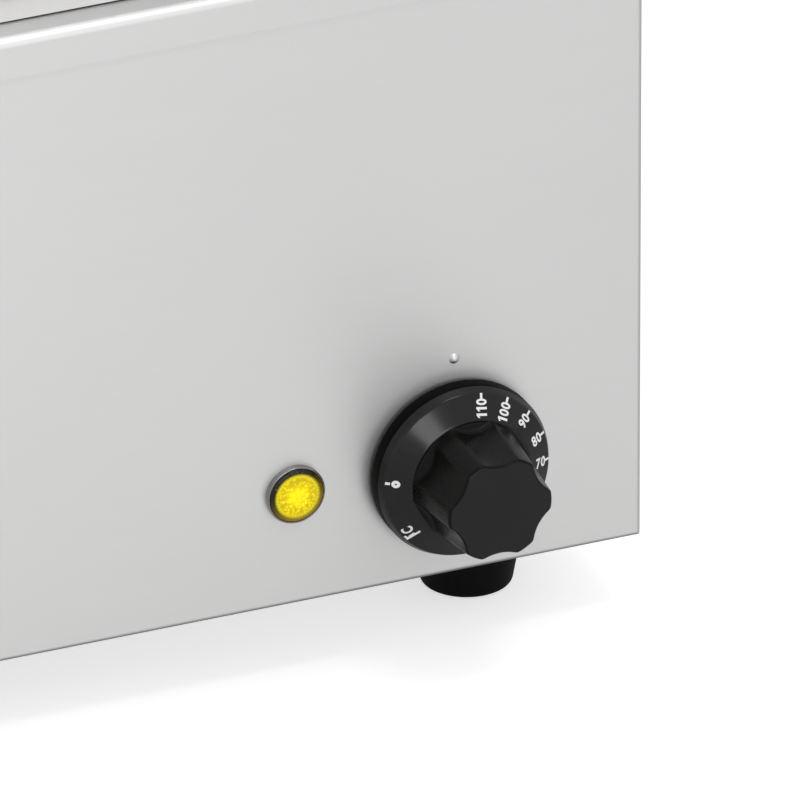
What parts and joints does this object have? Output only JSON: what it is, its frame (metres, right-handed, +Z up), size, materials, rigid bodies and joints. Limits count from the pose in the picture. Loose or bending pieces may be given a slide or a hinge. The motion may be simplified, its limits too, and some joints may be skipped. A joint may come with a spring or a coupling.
{
  "type": "electric buffet warmer",
  "caption": "Countertop electric buffet warmer: stainless casing with heated water well, half-size food pans, rear-hinged lid, front thermostat knob, indicator lamp and rubber feet.",
  "frame": {"origin": "middle of the whole part's box, on the table plane under the feet", "axes": "+X to the right seen from the front, +Y from the front panel to the back, +Z up"},
  "size_m": [0.5722, 0.4366, 0.3682],
  "materials": {
    "satin_steel": "satin, fine horizontal grain",
    "polished_steel": "pressed sheet, semi-bright",
    "zinc_steel": "zinc plated",
    "heater_sheath": "annealed, heat-tinted",
    "white_ceramic": "steatite",
    "brass": "turned",
    "cream_plastic": "moulded",
    "black_plastic": "moulded",
    "knob_plastic": "moulded, semi-gloss, printed white dial",
    "bezel_chrome": "plated",
    "amber_lens": "transparent yellow, prismatic",
    "wire_jacket": "heat-resistant insulation",
    "black_rubber": "moulded"
  },
  "bodies": {
    "base": {"casing": "satin_steel", "rear_panel": "satin_steel", "base_plate": "satin_steel", "deck": "satin_steel", "water_well": "satin_steel", "adapter_bar": "polished_steel", "pan_left": "polished_steel", "pan_right": "polished_steel", "heating_element": "heater_sheath", "element_terminals": "white_ceramic", "element_studs": "zinc_steel", "element_clamps": "satin_steel", "element_nuts": "brass", "heat_shield": "satin_steel", "thermostat": "cream_plastic", "thermostat_screws": "zinc_steel", "capillary_bulb": "brass", "bulb_clip": "satin_steel", "overheat_cutout": "black_plastic", "lamp_bezel": "bezel_chrome", "lamp_lens": "amber_lens", "lamp_body": "black_plastic", "lamp_nut": "black_plastic", "terminal_block": "cream_plastic", "earth_stud": "brass", "earth_nut": "brass", "wiring": "wire_jacket", "gland_body": "black_plastic", "gland_cap": "black_plastic", "gland_seal": "black_rubber", "gland_locknut": "black_plastic", "foot_front_left": "black_rubber", "foot_front_right": "black_rubber", "foot_rear_left": "black_rubber", "foot_rear_right": "black_rubber", "foot_washers": "zinc_steel", "foot_screws": "zinc_steel", "foot_nuts": "zinc_steel", "base_screws": "zinc_steel", "rear_screws": "zinc_steel", "hinge_bracket_left": "polished_steel", "hinge_bracket_right": "polished_steel", "hinge_pin_left": "zinc_steel", "hinge_pin_right": "zinc_steel", "pin_clips": "zinc_steel", "bracket_rivets": "zinc_steel"},
    "lid": {"lid_shell": "polished_steel", "hinge_strap_left": "polished_steel", "hinge_strap_right": "polished_steel", "strap_rivets": "zinc_steel", "handle_rod": "polished_steel", "handle_sleeve": "black_plastic", "handle_washers": "zinc_steel", "handle_nuts": "zinc_steel"},
    "knob": {"knob": "knob_plastic", "spindle": "zinc_steel"}
  },
  "joints": [
    {"name": "lid_hinge", "type": "hinge", "parent": "base", "child": "lid", "pos_m": [0, 0.1823, 0.2583], "axis": [-1, 0, 0], "range_deg": [0, 100]},
    {"name": "knob_turn", "type": "hinge", "parent": "base", "child": "knob", "pos_m": [0.219, -0.1807, 0.0675], "axis": [0, -1, 0], "range_deg": [0, 272]}
  ]
}
